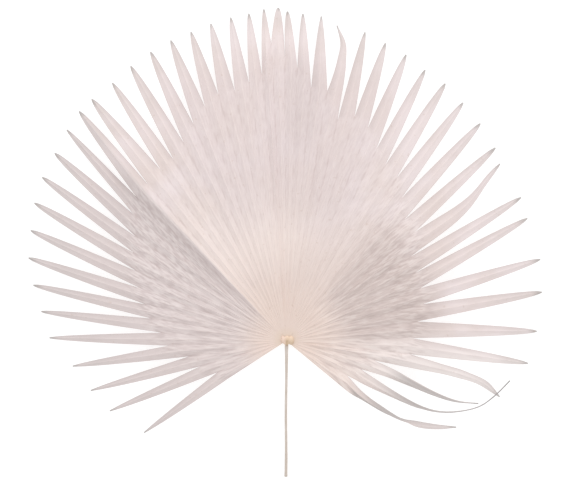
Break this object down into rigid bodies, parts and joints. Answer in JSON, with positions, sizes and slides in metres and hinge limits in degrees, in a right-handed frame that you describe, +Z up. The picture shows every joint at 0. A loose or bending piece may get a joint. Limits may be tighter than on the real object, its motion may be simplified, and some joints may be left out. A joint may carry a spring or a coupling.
{
  "type": "dried fan palm leaf",
  "caption": "Dried fan palm leaf that lies flat: a wide pleated fan split into pointed tips round its rim, with a few curled tips on one side and a short slim stalk.",
  "frame": {"origin": "middle of the leaf's plan, on the surface that it lies on", "axes": "+Z up out of the surface, the ribbed side that the picture shows is up; +Y from the stalk's cut end towards the tips at the top of the fan; +X to the right in the picture, across the fan at its widest"},
  "size_m": [0.552, 0.5036, 0.0273],
  "materials": {
    "dried_leaf": "matt, dry and papery, pale pink-lilac with cream towards the stalk",
    "dried_stalk": "matt dry stalk, beige and tan with fine grooves"
  },
  "bodies": {
    "root": {"blade": "dried_leaf", "stalk": "dried_stalk"}
  },
  "joints": []
}
